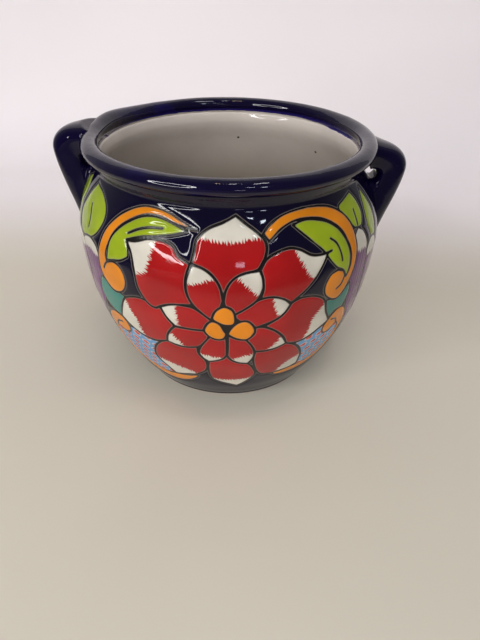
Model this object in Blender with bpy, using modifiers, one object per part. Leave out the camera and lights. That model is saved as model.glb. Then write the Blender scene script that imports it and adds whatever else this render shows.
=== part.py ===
"""Handled planter of glazed ceramic: a turned pot, a rolled rim coil and two ear handles.

Metres, +Z up. The origin is the centre of the foot, on the surface that the planter stands on.
The handles lie along X, and the front faces -Y.
"""

import math

import bmesh
import bpy

# Pot, turned about Z
FOOT_RADIUS = 0.0875
BELLY_RADIUS = 0.136
BELLY_HEIGHT = 0.144
NECK_RADIUS = 0.115
NECK_LENGTH = 0.0102
NECK_FLARE = 0.0025
WALL = 0.007
FLOOR = 0.011
FLOOR_FILLET = 0.010
FOOT_EDGE = 0.003
FOOT_RING_WIDTH = 0.016
FOOT_RECESS = 0.003
DRAIN_RADIUS = 0.009

# How full the two curves of the wall are: 2 is a parabola, more is squarer
LOWER_FULLNESS = 2.1
SHOULDER_FULLNESS = 1.85

# Rim coil, seated on the top of the neck
HEIGHT = 0.225
RIM_HEIGHT = 0.0125
RIM_OVERHANG = 0.008
RIM_SEAT_LEDGE = 0.0015

# Ear handles, each a thick roll of clay bent in the XZ plane
HANDLE_WIDTH = 0.0284
HANDLE_ROOT_WIDTH = 0.043
HANDLE_FOOT_WIDTH = 0.0255
HANDLE_THICKNESS = 0.0265
HANDLE_STANDOFF = 0.0239
HANDLE_TOP_DROP = 0.0132
HANDLE_ELBOW_DROP = 0.0246
HANDLE_ROOT_DEPTH = 0.0045
HANDLE_FOOT_DEPTH = 0.0102
HANDLE_FOOT_DROP = 0.0044
HANDLE_SQUARENESS = 2.2
LEFT_RAISE = 0.0045
RIGHT_RAISE = -0.0038
ROOT_TAPER_RATIO = 0.68
FOOT_TAPER_RATIO = 0.90
ROOT_FLARE_POWER = 1.2
FOOT_FLARE_POWER = 2.0

# Pull of the ear's curve: share of each span that its tangents cover
ROOT_PULL_RATIO = 0.70
ELBOW_UP_RATIO = 0.48
ELBOW_DOWN_RATIO = 0.24
FOOT_PULL_RATIO = 0.21

# Gap kept between pieces that seat on each other
SEAT_GAP = 0.0003

# Facets
TURN_STEPS = 64
WALL_STEPS = 10
ARC_STEPS = 5
EAR_SIDES = 18
EAR_STEPS = 10
WELD = 0.00001

# Sizes that follow from the ones above
RIM_BOTTOM = HEIGHT - RIM_HEIGHT
RIM_MIDDLE = HEIGHT - RIM_HEIGHT / 2
LIP_RADIUS = NECK_RADIUS + NECK_FLARE
RIM_RADIUS = LIP_RADIUS + RIM_OVERHANG
MOUTH_RADIUS = LIP_RADIUS - WALL
WALL_TOP = RIM_BOTTOM - SEAT_GAP
NECK_BOTTOM = WALL_TOP - NECK_LENGTH
FLOOR_TOP = FOOT_RECESS + FLOOR
EAR_LINE = (BELLY_RADIUS + RIM_RADIUS) / 2

# Finishes: colour, roughness
COBALT_GLAZE = ((0.010, 0.008, 0.075, 1.0), 0.08)
PAINTED_GLAZE = ((0.36, 0.030, 0.030, 1.0), 0.12)


def clear_scene():
    """Remove every object of the scene that the script starts in."""
    for old in list(bpy.data.objects):
        bpy.data.objects.remove(old, do_unlink=True)


def new_collection(name):
    """Make a collection and link it to the scene."""
    collection = bpy.data.collections.new(name)
    bpy.context.scene.collection.children.link(collection)
    return collection


def new_material(name, finish):
    """Make a Principled material from a colour and a roughness."""
    colour, roughness = finish
    material = bpy.data.materials.new(name)
    material.use_nodes = True
    shader = material.node_tree.nodes["Principled BSDF"]
    shader.inputs["Base Color"].default_value = colour
    shader.inputs["Roughness"].default_value = roughness
    shader.inputs["Metallic"].default_value = 0.0
    material.diffuse_color = colour
    return material


def outer_radius(z):
    """Radius of the pot's outside at a height."""
    if z >= NECK_BOTTOM:
        return NECK_RADIUS + NECK_FLARE * (z - NECK_BOTTOM) / NECK_LENGTH
    if z >= BELLY_HEIGHT:
        rise = (z - BELLY_HEIGHT) / (NECK_BOTTOM - BELLY_HEIGHT)
        return BELLY_RADIUS - (BELLY_RADIUS - NECK_RADIUS) * rise ** SHOULDER_FULLNESS
    drop = (BELLY_HEIGHT - z) / BELLY_HEIGHT
    return BELLY_RADIUS - (BELLY_RADIUS - FOOT_RADIUS) * drop ** LOWER_FULLNESS


def inner_radius(z):
    """Radius of the pot's inside at a height, with the wall measured square to its slope below the belly."""
    slope = 0.0
    if z < BELLY_HEIGHT:
        drop = (BELLY_HEIGHT - z) / BELLY_HEIGHT
        slope = (BELLY_RADIUS - FOOT_RADIUS) * LOWER_FULLNESS / BELLY_HEIGHT * drop ** (LOWER_FULLNESS - 1)
    return outer_radius(z) - WALL * math.hypot(1.0, slope)


def spaced(start, end, count):
    """Evenly spaced values from start to end, both included."""
    return [start + (end - start) * step / count for step in range(count + 1)]


def arc(centre, size, start, end, count=ARC_STEPS):
    """Points of an elliptical arc in the XZ plane, angles in degrees from +X towards +Z."""
    angles = [math.radians(angle) for angle in spaced(start, end, count)]
    return [(centre[0] + size[0] * math.cos(a), centre[1] + size[1] * math.sin(a)) for a in angles]


def wall_heights():
    """Heights down the outside, from the shoulder's crease to the foot's rounded edge."""
    shoulder = spaced(NECK_BOTTOM, BELLY_HEIGHT, WALL_STEPS)
    return shoulder + spaced(BELLY_HEIGHT, FOOT_EDGE, WALL_STEPS)[1:]


def pot_profile():
    """Outline of the pot's wall and floor, down the outside and up the inside."""
    outside = [(LIP_RADIUS, WALL_TOP)] + [(outer_radius(z), z) for z in wall_heights()]
    edge_radius = outer_radius(FOOT_EDGE)
    edge = arc((edge_radius - FOOT_EDGE, FOOT_EDGE), (FOOT_EDGE, FOOT_EDGE), 0, -90)[1:]
    ring_inner = edge_radius - FOOT_EDGE - FOOT_RING_WIDTH
    underside = [(ring_inner, 0.0), (ring_inner - FOOT_RECESS, FOOT_RECESS), (DRAIN_RADIUS, FOOT_RECESS)]
    fillet_top = FLOOR_TOP + FLOOR_FILLET
    fillet_centre = (inner_radius(fillet_top) - FLOOR_FILLET, fillet_top)
    fillet = arc(fillet_centre, (FLOOR_FILLET, FLOOR_FILLET), -90, 0)
    inside_lower = [(inner_radius(z), z) for z in spaced(fillet_top, BELLY_HEIGHT, WALL_STEPS)[1:]]
    inside_upper = [(inner_radius(z), z) for z in spaced(BELLY_HEIGHT, NECK_BOTTOM, WALL_STEPS)[1:]]
    inside = inside_lower + inside_upper + [(MOUTH_RADIUS, WALL_TOP)]
    return outside + edge + underside + [(DRAIN_RADIUS, FLOOR_TOP)] + fillet + inside


def rim_outside(grow):
    """Outer half of the rim coil's section, from its crest to its seat, grown all round."""
    crest = (MOUTH_RADIUS + RIM_RADIUS) / 2
    seat = LIP_RADIUS + RIM_SEAT_LEDGE
    half = RIM_HEIGHT / 2 + grow
    over = arc((crest, RIM_MIDDLE), (RIM_RADIUS - crest + grow, half), 90, 0)
    under = arc((seat, RIM_MIDDLE), (RIM_RADIUS - seat + grow, half), 0, -90)
    return over + under[1:]


def rim_profile():
    """Closed section of the rim coil: rolled outside, flat seat, inside flush with the pot's wall."""
    crest = (MOUTH_RADIUS + RIM_RADIUS) / 2
    inner = arc((crest, RIM_MIDDLE), (crest - MOUTH_RADIUS, RIM_HEIGHT / 2), 180, 90)
    return rim_outside(0.0) + [(MOUTH_RADIUS, RIM_BOTTOM)] + inner[:-1]


def pot_clearance_profile():
    """Ring that holds the pot's outside plus the seat gap, for cutting what seats on it."""
    core = MOUTH_RADIUS / 2
    sides = [(LIP_RADIUS + SEAT_GAP, HEIGHT), (LIP_RADIUS + SEAT_GAP, WALL_TOP)]
    sides += [(outer_radius(z) + SEAT_GAP, z) for z in wall_heights()]
    return sides + [(core, FOOT_EDGE), (core, HEIGHT)]


def rim_clearance_profile():
    """Ring that holds the rim coil's outside plus the seat gap, and the space above its crest."""
    core = MOUTH_RADIUS / 2
    side = rim_outside(SEAT_GAP)
    above = HEIGHT + HANDLE_THICKNESS
    return [(side[0][0], above)] + side + [(core, side[-1][1]), (core, above)]


def turned(name, profile, collection):
    """Turn a closed profile about Z."""
    mesh = bpy.data.meshes.new(name)
    points = [(x, 0.0, z) for x, z in profile]
    count = len(points)
    mesh.from_pydata(points, [(i, (i + 1) % count) for i in range(count)], [])
    body = bpy.data.objects.new(name, mesh)
    collection.objects.link(body)
    screw = body.modifiers.new("turn", "SCREW")
    screw.axis = "Z"
    screw.angle = math.tau
    screw.steps = TURN_STEPS
    screw.render_steps = TURN_STEPS
    screw.use_merge_vertices = True
    screw.merge_threshold = WELD
    screw.use_smooth_shade = True
    return body


def as_guide(body):
    """Mark an object as a cutter or a guide, which is no part of the planter."""
    body.hide_render = True
    body.display_type = "WIRE"
    return body


def bezier(start, start_pull, end_pull, end):
    """Points of a Bezier span in the XZ plane."""
    points = []
    for share in spaced(0.0, 1.0, EAR_STEPS):
        rest = 1.0 - share
        weights = (rest ** 3, 3 * rest ** 2 * share, 3 * rest * share ** 2, share ** 3)
        knots = (start, start_pull, end_pull, end)
        points.append(tuple(sum(w * knot[axis] for w, knot in zip(weights, knots)) for axis in (0, 1)))
    return points


def ear_line(raised):
    """Middle line of an ear, from its root in the rim over the elbow to its foot on the shoulder."""
    top = HEIGHT + raised
    root = (NECK_RADIUS - HANDLE_ROOT_DEPTH, top - HANDLE_TOP_DROP)
    elbow = (EAR_LINE + HANDLE_STANDOFF - HANDLE_THICKNESS / 2, top - HANDLE_ELBOW_DROP)
    foot = (BELLY_RADIUS - HANDLE_FOOT_DEPTH, BELLY_HEIGHT - HANDLE_FOOT_DROP)
    root_out = (root[0] + (elbow[0] - root[0]) * ROOT_PULL_RATIO, root[1])
    elbow_up = (elbow[0], elbow[1] + (root[1] - elbow[1]) * ELBOW_UP_RATIO)
    elbow_down = (elbow[0], elbow[1] - (elbow[1] - foot[1]) * ELBOW_DOWN_RATIO)
    foot_out = (elbow[0] - foot[0]) * FOOT_PULL_RATIO
    foot_up = (foot[0] + foot_out, foot[1] + (elbow[1] - foot[1]) * FOOT_PULL_RATIO)
    return bezier(root, root_out, elbow_up, elbow) + bezier(elbow, elbow_down, foot_up, foot)[1:]


def ear_sizes():
    """Width and thickness of an ear at each point of its middle line: broad at the rim, slimmer at the foot."""
    sizes = []
    for share in spaced(0.0, 1.0, EAR_STEPS):
        flare = (1.0 - share) ** ROOT_FLARE_POWER
        width = HANDLE_WIDTH + (HANDLE_ROOT_WIDTH - HANDLE_WIDTH) * flare
        sizes.append((width, HANDLE_THICKNESS * (ROOT_TAPER_RATIO + (1.0 - ROOT_TAPER_RATIO) * share)))
    for share in spaced(0.0, 1.0, EAR_STEPS)[1:]:
        width = HANDLE_WIDTH + (HANDLE_FOOT_WIDTH - HANDLE_WIDTH) * share ** FOOT_FLARE_POWER
        sizes.append((width, HANDLE_THICKNESS * (1.0 + (FOOT_TAPER_RATIO - 1.0) * share)))
    return sizes


def rounded(angle, part):
    """One coordinate of a rounded oblong of unit half size: part is the cosine or the sine."""
    return math.copysign(abs(part(angle)) ** (2 / HANDLE_SQUARENESS), part(angle))


def ear_ring(line, index, size, side):
    """Points of the ear's section at one point of its middle line, square to the line."""
    here, before, after = line[index], line[max(index - 1, 0)], line[min(index + 1, len(line) - 1)]
    run, rise = after[0] - before[0], after[1] - before[1]
    length = math.hypot(run, rise)
    ring = []
    for turn in range(EAR_SIDES):
        angle = math.tau * turn / EAR_SIDES
        through = rounded(angle, math.sin) * size[1] / 2
        x, z = here[0] - rise / length * through, here[1] + run / length * through
        ring.append((side * x, rounded(angle, math.cos) * size[0] / 2, z))
    return ring


def ear_body(name, side, raised, collection):
    """Closed ear: its section swept along the middle line, on the side of +X (1) or -X (-1)."""
    line = ear_line(raised)
    rings = [ear_ring(line, index, size, side) for index, size in enumerate(ear_sizes())]
    shape = bmesh.new()
    rows = [[shape.verts.new(point) for point in ring] for ring in rings]
    for row, above in zip(rows, rows[1:]):
        for turn in range(EAR_SIDES):
            beside = (turn + 1) % EAR_SIDES
            shape.faces.new((row[turn], row[beside], above[beside], above[turn]))
    shape.faces.new(rows[0])
    shape.faces.new(rows[-1])
    bmesh.ops.recalc_face_normals(shape, faces=shape.faces)
    mesh = bpy.data.meshes.new(name)
    shape.to_mesh(mesh)
    shape.free()
    body = bpy.data.objects.new(name, mesh)
    collection.objects.link(body)
    return body


def cut(body, cutter):
    """Cut a body back from what it seats on."""
    boolean = body.modifiers.new("seat_on_" + cutter.name, "BOOLEAN")
    boolean.operation = "DIFFERENCE"
    boolean.solver = "EXACT"
    boolean.object = cutter


def build_planter():
    """Build the pot, the rim coil and the two handles."""
    clear_scene()
    parts = new_collection("planter")
    guides = new_collection("cutters")

    pot = turned("pot_body", pot_profile(), parts)
    pot.data.materials.append(new_material("painted_glaze", PAINTED_GLAZE))

    rim = turned("rim_coil", rim_profile(), parts)
    rim.data.materials.append(new_material("rim_glaze", COBALT_GLAZE))

    pot_clearance = as_guide(turned("pot_clearance", pot_clearance_profile(), guides))
    rim_clearance = as_guide(turned("rim_clearance", rim_clearance_profile(), guides))
    for name, side, raised in (("handle_right", 1, RIGHT_RAISE), ("handle_left", -1, LEFT_RAISE)):
        handle = ear_body(name, side, raised, parts)
        handle.data.materials.append(new_material(name + "_glaze", COBALT_GLAZE))
        handle.data.shade_smooth()
        cut(handle, pot_clearance)
        cut(handle, rim_clearance)


build_planter()
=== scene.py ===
"""Looks of the handled planter: painted relief wall, cobalt rim and ears, pale inside and bare foot.

Lengths are metres, apart from the ornament, which is drawn in millimetres on the unrolled wall:
u runs round the belly to the right from the middle of the front, and s up the wall from the foot.
"""

import math

import bpy
import numpy as np
from mathutils import Matrix, Vector


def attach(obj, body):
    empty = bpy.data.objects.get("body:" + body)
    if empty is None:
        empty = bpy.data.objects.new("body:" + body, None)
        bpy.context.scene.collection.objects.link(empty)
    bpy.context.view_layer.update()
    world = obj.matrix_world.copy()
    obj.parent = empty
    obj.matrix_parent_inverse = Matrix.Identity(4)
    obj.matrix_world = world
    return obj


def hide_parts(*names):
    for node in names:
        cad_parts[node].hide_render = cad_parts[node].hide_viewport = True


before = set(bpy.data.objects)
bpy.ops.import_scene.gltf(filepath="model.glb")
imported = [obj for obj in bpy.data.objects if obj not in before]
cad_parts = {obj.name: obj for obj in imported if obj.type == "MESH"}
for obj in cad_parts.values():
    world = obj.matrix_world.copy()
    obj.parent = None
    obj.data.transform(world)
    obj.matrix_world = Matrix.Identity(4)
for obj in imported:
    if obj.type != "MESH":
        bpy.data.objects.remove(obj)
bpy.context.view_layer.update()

# Sizes of the solids that the looks follow
FOOT_RADIUS = 0.0875
BELLY_RADIUS = 0.136
BELLY_HEIGHT = 0.144
NECK_RADIUS = 0.115
NECK_BOTTOM = 0.202
LIP_RADIUS = 0.1175
WALL_TOP = 0.2122
WALL = 0.007
FLOOR_TOP = 0.014
FLOOR_FILLET = 0.010
FOOT_EDGE = 0.003
FOOT_RING_WIDTH = 0.016
FOOT_RECESS = 0.003
DRAIN_RADIUS = 0.009
LOWER_FULLNESS = 2.1
SHOULDER_FULLNESS = 1.85
HEIGHT = 0.225
RIM_BOTTOM = 0.2125
RIM_RADIUS = 0.1255
RIM_SEAT = 0.119
MOUTH_RADIUS = LIP_RADIUS - WALL
RIM_MIDDLE = (HEIGHT + RIM_BOTTOM) / 2
RIM_CREST = (MOUTH_RADIUS + RIM_RADIUS) / 2

# Ears: root, elbow and foot of the middle line, its pulls, the sizes of the section along it,
# and for each ear its side, how much it is raised, and the middle and half sizes of its hole
EAR_ROOT_X, EAR_ROOT_DROP = 0.1105, 0.0132
EAR_ELBOW_X, EAR_ELBOW_DROP = 0.1414, 0.0246
EAR_FOOT = (0.1258, 0.1396)
EAR_ROOT_PULL, EAR_UP_PULL, EAR_DOWN_PULL, EAR_FOOT_PULL = 0.70, 0.48, 0.24, 0.21
EAR_WIDTH, EAR_ROOT_WIDTH, EAR_FOOT_WIDTH = 0.0284, 0.043, 0.0255
EAR_THICKNESS, EAR_ROOT_TAPER, EAR_FOOT_TAPER = 0.0265, 0.68, 0.90
EAR_ROOT_FLARE, EAR_FOOT_FLARE, EAR_SQUARENESS, EAR_HOLE_SQUARENESS = 1.2, 2.0, 2.2, 4.5
EARS = (("ear_right", "handle_right", 1, -0.0018, (0.1250, 0.1925), (0.0040, 0.0046)),
        ("ear_left", "handle_left", -1, 0.0075, (0.1238, 0.1985), (0.0032, 0.0048)))

# The neck leans out under the rim, and the crease below it is softened
COVE_LEAN = 0.004
CREASE_STEPS = np.linspace(-0.0016, 0.0016, 9)

# Inside, the wall swells at the neck and flares up to the mouth, with a softer bend than outside
NECK_SWELL = 0.001
SWELL_REACH = 0.010
INSIDE_SOFTNESS = 5

# Millimetres in a metre, and half the unrolled wall's length round the belly
MM = 1000.0
HALF_ROUND = math.pi * BELLY_RADIUS * MM

# Fineness of the meshes, and points of curves, ellipses and arcs
WALL_COLUMNS, WALL_ROWS, PROFILE_POINTS = 840, 222, 2400
NECK_ROWS, INSIDE_ROWS = 6, 28
RIM_COLUMNS = 360
EAR_SIDES, EAR_STEPS = 64, 44
CURVE_STEPS, ELLIPSE_POINTS = 7, 33
EDGE_POINTS, FILLET_POINTS, ARC_POINTS, OUTER_POINTS = 7, 8, 12, 14


def srgb(red, green, blue):
    """Linear colour of a display colour of 0 to 255."""
    shares = [value / 255 for value in (red, green, blue)]
    return tuple(v / 12.92 if v <= 0.04045 else ((v + 0.055) / 1.055) ** 2.4 for v in shares)


# Glazes and clay
COBALT = srgb(9, 5, 34)
RED = srgb(170, 24, 26)
WHITE = srgb(222, 216, 202)
ORANGE = srgb(230, 138, 26)
LIME = srgb(156, 176, 34)
TEAL = srgb(62, 132, 120)
PURPLE = srgb(112, 58, 116)
SKY = srgb(104, 158, 204)
DASH_RED = srgb(206, 74, 54)
DASH_PALE = srgb(196, 190, 188)
INK = srgb(20, 17, 17)
INK_EDGE = srgb(122, 114, 108)
INSIDE = srgb(226, 216, 207)
# Painted shade of the inside, lower down
INSIDE_SHADE = srgb(152, 142, 126)
PINHOLE = srgb(60, 48, 38)
COBALT_DEEP = srgb(8, 3, 38)
COBALT_THIN = srgb(22, 10, 92)
COBALT_EDGE = srgb(40, 30, 116)
CLAY = srgb(176, 104, 70)
CLAY_DARK = srgb(120, 70, 50)
CLAY_PALE = srgb(205, 150, 112)
FLOOR_CREAM = srgb(220, 213, 197)
FLOOR_WHITE = srgb(238, 232, 234)
# Painted shade of the floor far from the pot, which the glaze reflects as a dark room
FLOOR_SHADE = srgb(108, 104, 99)

# Petals of the flower: outline, and line where the white tip starts. In all outlines
# each run is a smooth line that starts at the end of the run before it
OUTER_PETALS = [
    # lower left
    ([[(-57, 137), (-66, 138.5), (-75, 136.5), (-84, 131.5), (-91, 120), (-96, 107.5)],
      [(-86, 99), (-73, 94), (-60, 93.5), (-47.5, 98)],
      [(-43, 111), (-37.5, 118.5)],
      [(-43, 126), (-48, 135.5)]],
     [(-71, 95), (-73.5, 103), (-75, 112), (-79, 120), (-82, 128)]),
    # lower right
    ([[(63, 144), (72, 143.5), (82, 140), (89, 133.5), (93.5, 121), (101, 108)],
      [(91, 102), (80, 96.5), (69, 94.5), (58, 97)],
      [(53, 107), (45, 115.5), (35, 122)],
      [(44, 127), (51, 132.5), (56, 141)]],
     [(90, 131), (84, 125), (79, 118), (78, 108), (75, 96.5)]),
    # bottom left
    ([[(-38, 95), (-29, 95), (-20, 97.5)],
      [(-19.5, 88), (-14.5, 78.5), (-13.5, 69), (-17, 59.5), (-27.5, 50.5)],
      [(-36, 48), (-46, 44), (-54.5, 41)],
      [(-59, 50), (-66, 60), (-68, 71), (-64, 83), (-56, 93), (-47.5, 98)]],
     [(-26, 53), (-33, 57.5), (-46, 61.5), (-57, 65), (-67, 67)]),
    # bottom right
    ([[(40, 91.5), (49, 93), (58, 97)],
      [(68, 91.5), (76, 81), (81, 69), (83.5, 55)],
      [(74, 51), (63, 49.8), (52, 49)],
      [(42, 51.5), (35, 60), (31, 72), (29.5, 82), (30.5, 92)]],
     [(79, 73), (70, 68.5), (63, 62), (59, 55), (54, 49)]),
    # bottom
    ([[(9, 81.5), (16, 76.8), (25, 75)],
      [(30, 68), (34.5, 55), (31, 44), (24, 34.5), (17, 28)],
      [(8, 33), (-3, 38.5), (-10.5, 46), (-13, 58), (-12.5, 69), (-11.5, 77.5)],
      [(-4, 79.5), (2, 83), (5, 88)]],
     [(34, 48), (20, 45), (5, 44.5), (-11, 47)]),
    # upper left
    ([[(-68, 185.5), (-57, 189.5), (-45, 190.5), (-36, 187.5), (-31, 181), (-22, 176.5)],
      [(-25, 166), (-25, 155), (-20.5, 143)],
      [(-31, 141.5), (-40, 139.5), (-48, 136)],
      [(-53, 133.5), (-60, 137), (-67, 149), (-69, 163), (-72, 175), (-77.5, 183.5)]],
     [(-69, 159.5), (-59, 163.5), (-55, 173), (-53, 182), (-50, 190)]),
    # upper right
    ([[(35, 180.5), (43, 184.5), (53, 186.5), (62, 184), (71, 178.5), (79, 176.3), (88, 176)],
      [(83, 168), (76, 158.5), (68, 150.5), (60, 144.5), (56, 141.5)],
      [(49, 146.5), (41, 149.7), (31, 149.5)],
      [(32.7, 158), (32, 166), (30, 173)]],
     [(58, 185), (61, 178), (66, 169), (70, 162.5), (76, 158)]),
    # top
    ([[(20, 206.5), (28, 200.5), (34.5, 193), (34.5, 184), (29, 173.5)],
      [(20, 170.5), (10, 166.5), (5, 158.5), (2.5, 149)],
      [(0.5, 160), (-5, 169), (-13, 174), (-21, 177)],
      [(-19, 186), (-17.5, 195), (-9, 203), (2, 207.5), (12, 212.5)]],
     [(-18, 196.5), (-2, 194), (12, 193.5), (22, 195.5), (34, 195.5)]),
]
INNER_PETALS = [
    # left
    ([[(-40, 139.7), (-31, 141.4), (-21, 140.5), (-14, 136), (-7, 130)],
      [(-7, 124), (-10, 118.5)],
      [(-25, 117.8), (-37, 118.5)],
      [(-43.5, 127), (-48, 136)]],
     [(-34, 118), (-35, 141)]),
    # right
    ([[(51, 132.5), (43, 127), (26, 120.5)],
      [(18, 127), (9, 135)],
      [(23, 145), (33, 149.5), (42, 149.3), (50, 146), (56, 140.5)]],
     [(40.5, 149), (42.5, 141), (47, 129)]),
    # lower left
    ([[(-39, 95.3), (-30, 95), (-19, 97.5)],
      [(-12, 105), (-8, 118)],
      [(-26, 118), (-37.5, 118.3)],
      [(-42.5, 112), (-46, 105), (-47.5, 97.5)]],
     [(-32, 96), (-36, 102.5), (-42, 109)]),
    # lower right
    ([[(36, 121), (46, 114.5), (53, 106.5), (58, 97)],
      [(50, 93.5), (40, 91.7), (30, 92.5)],
      [(26, 99), (18, 109)],
      [(24, 115), (26, 122)]],
     [(52, 108), (47, 100), (40, 92)]),
    # bottom right
    ([[(9.5, 81.5), (16, 77), (25, 75)],
      [(29, 83), (29.5, 92), (26, 101), (20, 110)],
      [(13, 113), (6, 115)],
      [(6.3, 100), (5.8, 88)]],
     [(29.5, 90), (20, 87), (9, 82.5)]),
    # bottom left
    ([[(2, 83.5), (-4, 79.8), (-11.5, 77.5)],
      [(-17, 83), (-19.3, 91), (-16, 100), (-9, 111)],
      [(-2, 114), (5, 114)],
      [(5.3, 98), (5.2, 88.5)]],
     [(4.5, 84.5), (-8, 86), (-20, 89.5)]),
    # upper left
    ([[(-12, 174), (-4.5, 168.5), (0.5, 160), (2.5, 148.5)],
      [(-1, 138), (-7, 130)],
      [(-18, 140.5), (-24, 151), (-25, 163), (-21, 176.5)]],
     [(-24, 161), (-14, 163), (-4, 167)]),
    # upper right
    ([[(32.3, 165), (32, 156), (26, 146), (9, 134)],
      [(5, 141), (3, 148)],
      [(5, 158.5), (10, 166.5), (18, 171), (30, 172.8)]],
     [(14, 167), (21, 160), (29, 152)]),
]

# Seeds of the flower, each a closed smooth line
SEEDS = [
    [(-5.8, 132), (-3, 139.3), (3.3, 143.5), (9.5, 140.5), (12, 133), (11, 126), (4.4, 124.8),
     (-2.5, 128.2)],
    [(-12.8, 119), (-9, 127), (-4.4, 128.6), (0.5, 125.2), (3, 119.8), (5.2, 115), (2.4, 109.6),
     (-3.5, 109), (-9.6, 112.6)],
    [(6.3, 116.5), (11, 124.8), (16.4, 128.8), (22, 128.6), (27.2, 122.3), (27.8, 115.5),
     (22.4, 108.8), (15, 109.2), (8.5, 113)],
]

# Arches with their spirals, and the scrolls below them
ARCHES = [
    [[(-29, 205.5), (-43, 211), (-58, 212.7), (-72, 210), (-88, 201), (-101, 188), (-109.5, 173),
      (-113.5, 156), (-109, 142), (-97, 133.8), (-85, 137.5), (-79.5, 148), (-83, 158.5),
      (-91, 162), (-101, 158.5)],
     [(-101.5, 166), (-97, 178), (-88, 190.5), (-75, 200.5), (-62, 206.3), (-48, 207), (-34, 203.5),
      (-18, 200.5)]],
    [[(39, 205), (50, 210.5), (66, 213), (83, 212.3), (98, 208.5), (111, 200), (119.5, 188),
      (123.5, 173), (123, 157), (117.5, 142.5), (108, 132), (99, 131), (89, 138.5), (86.5, 147.5),
      (91, 156), (99, 158.3), (106.5, 155.5)],
     [(111, 148.5)],
     [(115.5, 158), (114.5, 170), (109, 183), (100, 194), (87, 201.8), (72, 205.5), (58, 205),
      (47, 200.5), (37.5, 193)],
     [(33, 199)]],
]
SCROLLS = [
    [[(-106, 85), (-98, 86), (-91, 91.5), (-92, 100.5), (-98, 105.8), (-107, 106.8), (-117, 102.5),
      (-126, 93), (-130, 80), (-127, 64), (-117, 48), (-103, 36), (-86, 27.5), (-70, 25),
      (-56, 26.2), (-44.5, 30.2), (-35, 36), (-28, 43.2), (-25.5, 49)],
     [(-33, 46), (-42, 43), (-52, 40.5), (-68, 38), (-84, 40.5), (-99, 46.5), (-111, 57),
      (-118.5, 69), (-119.5, 80), (-114, 88)]],
    [[(108, 90.5), (101, 91.5), (97, 98), (99.5, 106), (105, 113), (113, 116), (122, 112.5),
      (130, 102), (133, 88), (130, 70), (121, 53), (107, 43), (92, 40), (78, 39.5), (68, 40.5),
      (59.5, 43), (54, 48.5)],
     [(65, 49), (74, 50.5), (85, 51.2), (96, 52), (107, 56), (117, 64), (123, 76), (124, 88),
      (117, 97)]],
]

# Leaves under the arches, and the fields between the scrolls and the flower
LEAVES = [
    [[(-34, 202.5), (-48, 206), (-62, 205.3), (-75, 199.5), (-88, 189.5), (-97, 177), (-100, 161)],
     [(-91, 163.5), (-83, 166), (-75, 171)],
     [(-75.5, 177), (-78, 184)],
     [(-62, 190), (-48, 193), (-36, 196), (-25, 199.5)]],
    [[(70, 204.5), (86, 200.8), (99, 193), (108, 182), (113.5, 169), (114, 157), (111, 148.5)],
     [(106, 156), (98, 161), (90, 169.5), (83, 179), (70, 191), (57.5, 202.5)]],
]
TEAL_FIELDS = [
    [[(-100, 138), (-83, 133)], [(-91, 120), (-96, 107.5)], [(-104, 108), (-112, 110.5)],
     [(-120, 119), (-119, 131), (-113.5, 141)]],
    [[(105, 133), (119, 140)], [(121, 128), (117, 116)], [(107, 116), (99, 111)],
     [(94.5, 119), (90.5, 133)]],
]
SKY_FIELDS = [
    [[(-70, 100), (-50, 98)], [(-60, 85), (-66, 68), (-56, 42)],
     [(-75, 36), (-100, 44), (-116, 60), (-122, 80), (-114, 92), (-92, 97)]],
    [[(80, 100), (58, 97)], [(72, 88), (82, 68), (82, 50)],
     [(98, 46), (118, 58), (128, 78), (124, 96), (100, 104)]],
]

# Strokes of ink inside the shapes
STROKES = [
    [(-101, 158.5), (-104, 155), (-106, 151.5)],
    [(106.5, 155.5), (108.7, 150), (106, 143.5), (100.5, 140.7)],
    [(-114, 88), (-108, 94.5), (-101, 96.8)],
    [(117, 97), (113, 103), (106, 105.5)],
    [(-77, 189), (-67, 194.5), (-57, 197.7), (-46, 199)],
    [(91.5, 186), (97.5, 181), (101.5, 173.5), (104, 165)],
    [(88, 176), (92, 176.5)],
    [(-135, 195), (-131.5, 185), (-133, 176)],
    [(126.5, 199), (128, 186)],
]

# Side ornament, towards the ears
SIDE_LEAVES = [
    [[(-121, 208.5), (-109.5, 201), (-107, 191), (-113, 180), (-124, 171), (-140, 165)],
     [(-153, 168), (-158, 180), (-150, 196), (-136, 212)]],
    [[(-158, 200), (-166, 183), (-172, 166)],
     [(-185, 175), (-186, 192), (-176, 205), (-160, 213)]],
    [[(135, 204), (138.5, 193), (134, 184), (123, 185)],
     [(112, 196), (107, 206), (117, 210), (128, 213)]],
    [[(158, 197), (166, 178), (164, 154)], [(152, 168), (145, 186), (147, 211)]],
]

# Side flowers: each petal's outline and the line where its white tip starts
LEFT_SEAM = [(-154, 90), (-142, 118), (-137.5, 143), (-146, 163)]
SIDE_PETALS = [
    ([[(-136, 168), (-124, 169), (-114, 163), (-110, 145), (-117, 118), (-136, 88), (-168, 58)],
      LEFT_SEAM],
     [(-144, 157), (-128, 160), (-110, 157)]),
    ([[(137, 178), (143, 165), (144, 140), (148, 110), (165, 60)],
      [(135, 90), (121, 120), (117, 150), (120, 175), (128, 184)]],
     [(117, 166), (145, 163)]),
    ([[(-158, 166), (-171, 163), (-178, 150), (-180, 120), (-180, 90), (-172, 56)],
      LEFT_SEAM],
     [(-178, 152), (-140, 156)]),
    ([[(152, 167), (166, 163), (176, 148), (180, 118), (178, 88), (168, 58)],
      [(150, 95), (144, 125), (144, 160)]],
     [(144, 154), (178, 152)]),
]

# Petal under an ear, from the ear's line: its right half, where its white tip starts, and its top
EAR_PETAL = [(14, 162), (26, 143), (29, 112), (20, 76), (0, 46)]
EAR_PETAL_TIP = [(-30, 148), (30, 148)]
EAR_PETAL_TOP = 172

# Dark middle under the flower: centre and half sizes
FLOWER_MIDDLE, FLOWER_DARK = (5, 119), (40, 40)

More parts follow.
